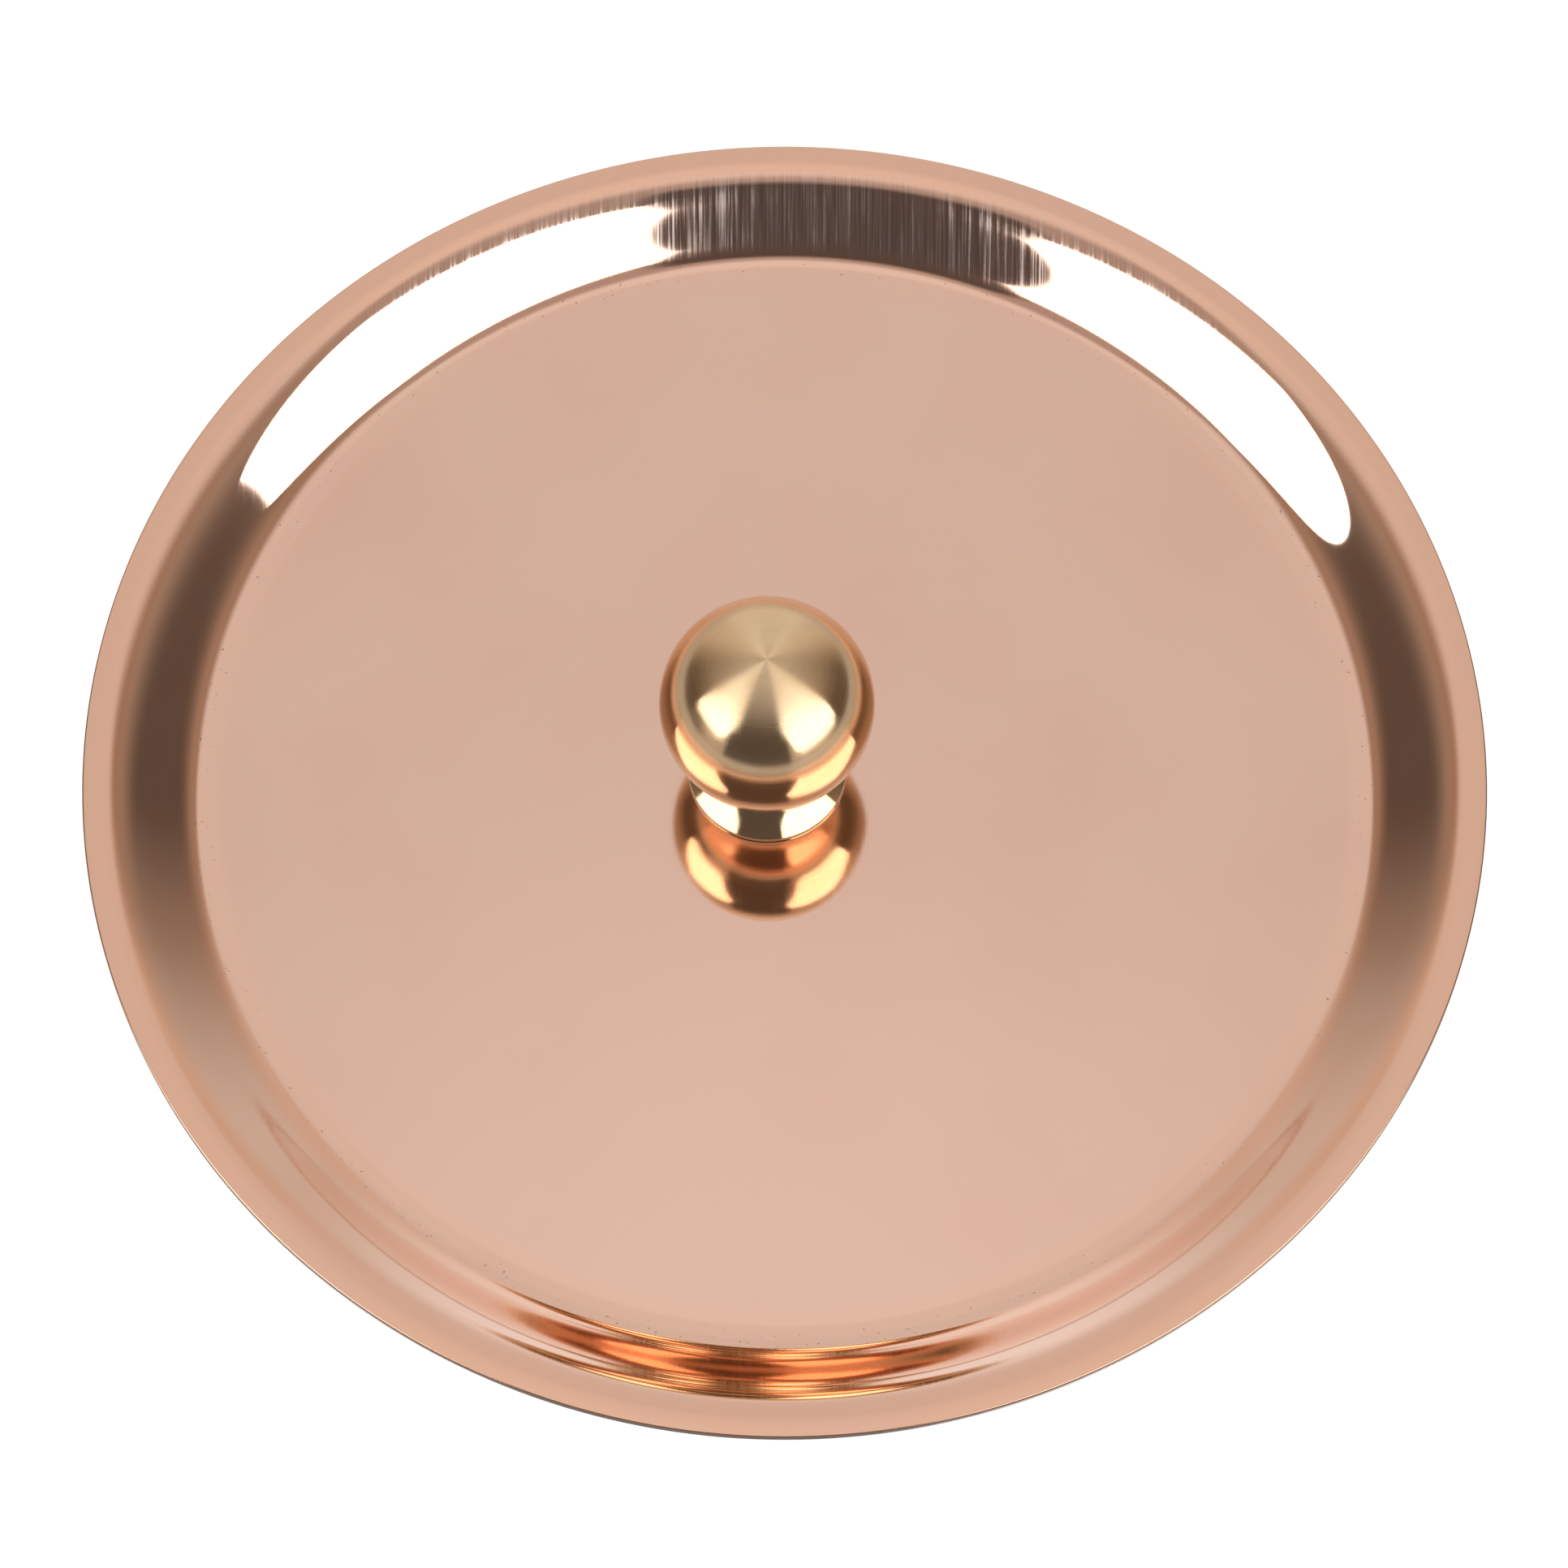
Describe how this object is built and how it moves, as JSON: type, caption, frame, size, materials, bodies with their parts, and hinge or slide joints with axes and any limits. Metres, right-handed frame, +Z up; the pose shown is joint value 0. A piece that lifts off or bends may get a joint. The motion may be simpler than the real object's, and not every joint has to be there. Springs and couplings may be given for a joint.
{
  "type": "saucepan lid",
  "caption": "Round inset copper saucepan lid: flat flange, ogee wall, shallow domed panel, steel lining, turned brass ball knob on a flared foot held by a screw from below.",
  "frame": {"origin": "centre of the lid's underside, on the surface the lid stands on, knob up", "axes": "+Z up along the lid's axis and the knob, +X to the right, -Y towards the viewer"},
  "size_m": [0.17, 0.17, 0.0374],
  "materials": {
    "copper": "polished copper with fine brush lines",
    "lining": "satin, spun",
    "brass": "turned and polished, fine circular lines",
    "steel": "bright zinc plated"
  },
  "bodies": {
    "root": {"lid_shell": "copper", "lid_lining": "lining", "knob": "brass", "knob_screw": "steel", "knob_washer": "steel"}
  },
  "joints": []
}
